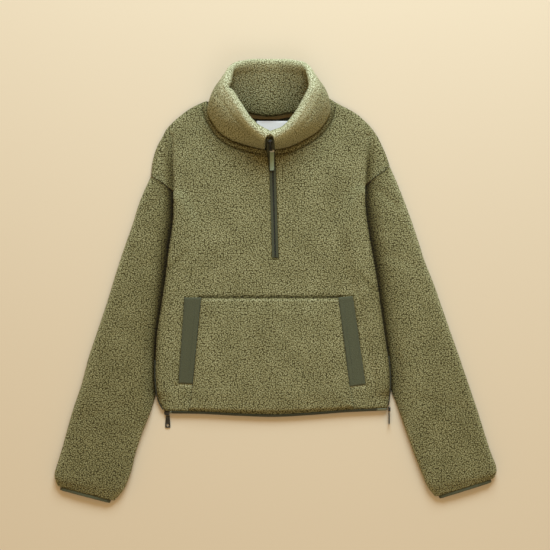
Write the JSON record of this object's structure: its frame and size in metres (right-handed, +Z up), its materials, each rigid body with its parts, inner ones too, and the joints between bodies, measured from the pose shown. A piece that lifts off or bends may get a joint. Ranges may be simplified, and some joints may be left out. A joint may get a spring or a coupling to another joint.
{
  "type": "half-zip pile fleece, laid flat",
  "caption": "Boxy pile fleece pullover with a stand collar, half zip, front pocket and hem zips, laid flat.",
  "frame": {"origin": "on the surface, under the centre of the laid garment's plan box", "axes": "+Z up from the surface, +Y from hem to collar, +X to the picture's right"},
  "size_m": [0.7906, 0.7922, 0.0672],
  "materials": {
    "pile_fleece": "curly pile, matt",
    "woven_cloth": "plain woven, matt",
    "pale_tape": "woven tape",
    "zip_teeth": "moulded coil",
    "gunmetal": "dark satin",
    "coated_metal": "satin paint",
    "label_cloth": "satin woven, blank"
  },
  "bodies": {
    "garment": {"front_body": "pile_fleece", "back_body": "pile_fleece", "collar": "pile_fleece", "sleeve_left": "pile_fleece", "sleeve_right": "pile_fleece", "pocket_panel": "pile_fleece", "pocket_trim_left": "woven_cloth", "pocket_trim_right": "woven_cloth", "hem_binding_front": "woven_cloth", "hem_binding_back": "woven_cloth", "cuff_binding_left": "woven_cloth", "cuff_binding_right": "woven_cloth", "side_zip_left": "woven_cloth", "side_zip_right": "woven_cloth", "zip_tape_left": "woven_cloth", "zip_tape_right": "woven_cloth", "hem_tab_left": "pale_tape", "hem_tab_right": "pale_tape", "zip_chain": "zip_teeth", "zip_slider": "gunmetal", "side_slider_left": "gunmetal", "side_slider_right": "gunmetal", "neck_label": "label_cloth"},
    "front_pull": {"zip_pull_link": "gunmetal", "zip_pull_tab": "coated_metal"},
    "left_pull": {"side_pull_left": "gunmetal"},
    "right_pull": {"side_pull_right": "gunmetal"}
  },
  "joints": [
    {"name": "front_pull_hinge", "type": "hinge", "parent": "garment", "child": "front_pull", "pos_m": [-0.00968, 0.2436, 0.05264], "axis": [-1, 0, 0], "range_deg": [0, 137]},
    {"name": "left_pull_hinge", "type": "hinge", "parent": "garment", "child": "left_pull", "pos_m": [-0.194, -0.23821, 0.0012], "axis": [-1, 0, 0], "range_deg": [0, 80]},
    {"name": "right_pull_hinge", "type": "hinge", "parent": "garment", "child": "right_pull", "pos_m": [0.2038, -0.23141, 0.0052], "axis": [0, 0, 1], "range_deg": [-60, 60]}
  ]
}
